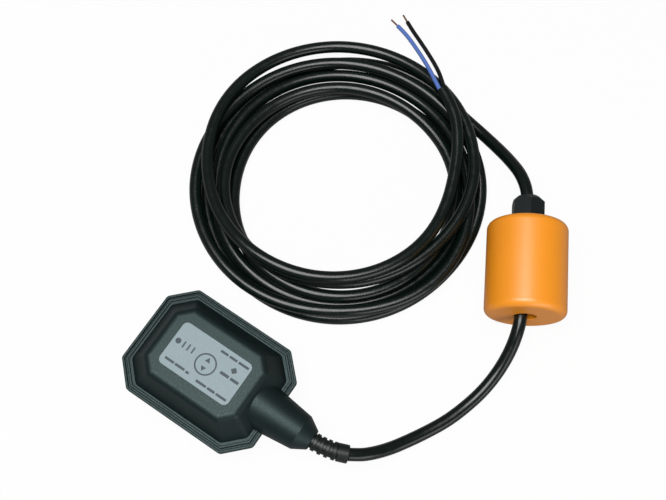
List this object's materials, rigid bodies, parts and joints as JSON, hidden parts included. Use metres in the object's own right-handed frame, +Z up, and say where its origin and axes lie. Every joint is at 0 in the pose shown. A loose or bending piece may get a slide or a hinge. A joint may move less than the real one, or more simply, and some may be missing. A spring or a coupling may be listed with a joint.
{
  "type": "cable float switch",
  "caption": "Octagonal two-shell float with a sealed ball switch, ribbed strain relief, coiled two-core cable with bared ends, and a clamped cylindrical counterweight.",
  "frame": {"origin": "centre of the flat on the lower shell that the float lies on", "axes": "+X along the float towards its cable outlet, +Z up through the label plate, +Y across the float"},
  "size_m": [0.2811, 0.3384, 0.0535],
  "materials": {
    "float_black": "satin moulded polypropylene",
    "label_silver": "brushed, printed in dark grey",
    "relief_rubber": "matte",
    "seal_rubber": "matte",
    "cable_black": "glossy sheath",
    "core_blue": "satin insulation",
    "core_black": "satin insulation",
    "copper": "bare stranded copper",
    "weight_orange": "satin moulded plastic",
    "ballast_iron": "raw cast",
    "nut_black": "satin moulded nylon",
    "capsule_grey": "moulded",
    "screw_steel": "zinc plated",
    "ball_steel": "polished",
    "rocker_white": "moulded acetal",
    "switch_dark": "moulded",
    "contact_brass": "plain"
  },
  "bodies": {
    "housing": {"lower_shell": "float_black", "upper_shell": "float_black", "label_plate": "label_silver", "strain_relief": "relief_rubber", "cable_grommet": "seal_rubber", "gland_seal": "seal_rubber", "cable_entry": "cable_black", "cable_lead": "cable_black", "cable_coil": "cable_black", "core_blue": "core_blue", "inner_core_blue": "core_blue", "core_black": "core_black", "inner_core_black": "core_black", "conductor_blue": "copper", "conductor_black": "copper", "weight_shell": "weight_orange", "weight_end_cap": "weight_orange", "ballast_core": "ballast_iron", "gland_nut": "nut_black", "capsule_base": "capsule_grey", "capsule_cover": "capsule_grey", "clamp_bar": "capsule_grey", "clamp_screws": "screw_steel", "capsule_screws": "screw_steel", "rocker_pin": "screw_steel", "switch_case": "switch_dark", "switch_cover": "switch_dark", "common_terminal": "contact_brass", "contact_terminal": "contact_brass", "contact_leaf": "contact_brass"},
    "rocker": {"ball_rocker": "rocker_white"},
    "ball": {"steel_ball": "ball_steel"},
    "plunger": {"switch_plunger": "rocker_white"}
  },
  "joints": [
    {"name": "rocker_tilt", "type": "hinge", "parent": "housing", "child": "rocker", "pos_m": [-0.015, -0.0048, 0.013], "axis": [0, 1, 0], "range_deg": [0, 7]},
    {"name": "ball_roll", "type": "slide", "parent": "rocker", "child": "ball", "axis": [0.9981, 0, 0.061], "range_m": [0, 0.014]},
    {"name": "plunger_press", "type": "slide", "parent": "housing", "child": "plunger", "axis": [0, 0, -1], "range_m": [0, 0.00098]}
  ],
  "couplings": [
    {"joint": "rocker_tilt", "follows": "ball_roll", "rad_per_m": 8.7266},
    {"joint": "plunger_press", "follows": "ball_roll", "ratio": 0.069}
  ]
}
